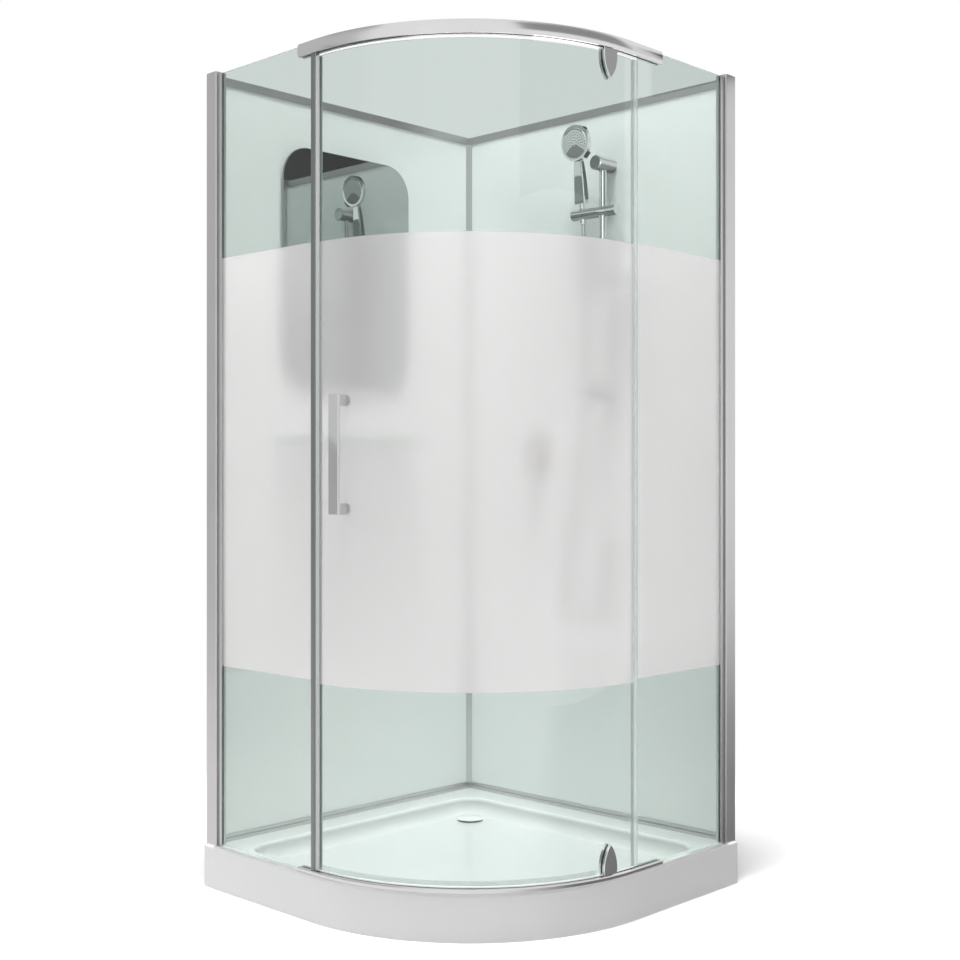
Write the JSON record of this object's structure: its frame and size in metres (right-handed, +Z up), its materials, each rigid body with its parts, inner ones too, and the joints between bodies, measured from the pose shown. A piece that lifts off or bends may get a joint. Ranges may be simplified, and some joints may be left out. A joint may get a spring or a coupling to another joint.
{
  "type": "quadrant shower enclosure",
  "caption": "Quadrant shower cabin with a tray, white glass walls, curved pivot door between chrome rails, mirror, shelf, mixer and hand shower on a slide bar.",
  "frame": {"origin": "on the floor, under the middle levelling foot, below the centre of the 900 mm tray square", "axes": "+Z up; the two walls stand along -X and +Y; the round front faces +X and -Y"},
  "size_m": [0.9, 0.9172, 1.927],
  "materials": {
    "white_acrylic": "gloss",
    "frame_paint": "satin",
    "black_plastic": "matte",
    "white_plastic": "satin",
    "chrome": "polished",
    "back_painted_glass": "gloss, painted white behind",
    "satin_aluminium": "satin anodised",
    "bright_aluminium": "polished",
    "clear_glass": "clear, with an etched band",
    "shelf_glass": "clear green edge",
    "clear_seal": "translucent",
    "magnet_white": "satin",
    "steel": "brushed",
    "silvered_glass": "mirror",
    "pad_foam": "matte",
    "dark_cap": "gloss",
    "spray_grey": "satin with rubber nozzles",
    "brass": "bare",
    "hose_metal": "bright spiral cover",
    "dish_plastic": "translucent"
  },
  "bodies": {
    "enclosure": {"tray": "white_acrylic", "frame_tubes": "frame_paint", "levelling_feet": "steel", "trap_body": "white_plastic", "drain_flange": "chrome", "wall_panel_left": "back_painted_glass", "wall_panel_right": "back_painted_glass", "top_profile_left": "satin_aluminium", "top_profile_right": "satin_aluminium", "bottom_profile_left": "satin_aluminium", "bottom_profile_right": "satin_aluminium", "corner_profile": "satin_aluminium", "column_left": "satin_aluminium", "column_right": "satin_aluminium", "glass_channels": "satin_aluminium", "fixed_glass_left": "clear_glass", "fixed_glass_right": "clear_glass", "sill_seals": "clear_seal", "top_rail": "bright_aluminium", "bottom_rail": "bright_aluminium", "pivot_bushes": "black_plastic", "closing_profile": "satin_aluminium", "fixed_magnet": "magnet_white", "mirror": "silvered_glass", "mirror_pads": "pad_foam", "shelf_glass": "shelf_glass", "shelf_brackets": "chrome", "slide_bar": "chrome", "bar_brackets": "chrome", "bracket_caps": "dark_cap", "mixer_valve": "brass", "mixer_plate": "chrome", "outlet_elbow": "chrome", "supply_pipe": "brass", "hose_nut": "chrome", "hose_loop": "hose_metal", "hose_riser": "hose_metal"},
    "door": {"door_glass": "clear_glass", "door_magnet_strip": "magnet_white", "door_edge_seal": "clear_seal", "door_sweep": "clear_seal", "clamp_outer_plates": "chrome", "clamp_inner_plates": "chrome", "pivot_pins": "steel", "clamp_screws": "steel", "handle_bar": "chrome", "handle_posts": "chrome", "handle_inner_plates": "chrome"},
    "slider": {"slider_body": "chrome", "hose_top": "hose_metal"},
    "knob": {"lock_knob": "chrome"},
    "holder": {"handset_holder": "chrome"},
    "handset": {"handset_body": "chrome", "handset_face": "spray_grey", "handset_cone": "chrome"},
    "selector": {"spray_selector": "chrome"},
    "mixer_head": {"mixer_cap": "chrome"},
    "lever": {"mixer_lever": "chrome"},
    "dish": {"soap_dish": "dish_plastic"},
    "cover": {"drain_cover": "chrome"}
  },
  "joints": [
    {"name": "door_swing", "type": "hinge", "parent": "enclosure", "child": "door", "pos_m": [0.4278, -0.01715, 0.1], "axis": [0, 0, 1], "range_deg": [0, 95]},
    {"name": "slider_slide", "type": "slide", "parent": "enclosure", "child": "slider", "axis": [0, 0, 1], "range_m": [-0.1, 0.085], "deforming": ["hose_riser"]},
    {"name": "lock_turn", "type": "hinge", "parent": "slider", "child": "knob", "pos_m": [0.115, 0.392, 1.646], "axis": [1, 0, 0], "range_deg": [-45, 45]},
    {"name": "holder_tilt", "type": "hinge", "parent": "slider", "child": "holder", "pos_m": [0.03, 0.392, 1.646], "axis": [1, 0, 0], "range_deg": [-3, 30], "deforming": ["hose_top"]},
    {"name": "handset_turn", "type": "hinge", "parent": "holder", "child": "handset", "pos_m": [0.016, 0.392, 1.646], "axis": [0, -0.1045, 0.9945], "range_deg": [-50, 3]},
    {"name": "selector_turn", "type": "hinge", "parent": "handset", "child": "selector", "pos_m": [0.016, 0.369, 1.82658], "axis": [0, -0.9945, -0.1045], "range_deg": [-16, 10]},
    {"name": "mixer_turn", "type": "hinge", "parent": "enclosure", "child": "mixer_head", "pos_m": [-0.16, 0.4, 1.036], "axis": [0, -1, 0], "range_deg": [-45, 45]},
    {"name": "mixer_lift", "type": "hinge", "parent": "mixer_head", "child": "lever", "pos_m": [-0.16, 0.3882, 1.036], "axis": [-1, 0, 0], "range_deg": [0, 20]},
    {"name": "dish_slide", "type": "slide", "parent": "enclosure", "child": "dish", "axis": [0, 0, 1], "range_m": [-0.25, 0.01]},
    {"name": "cover_lift", "type": "slide", "parent": "enclosure", "child": "cover", "axis": [0, 0, 1], "range_m": [0, 0.06]}
  ]
}
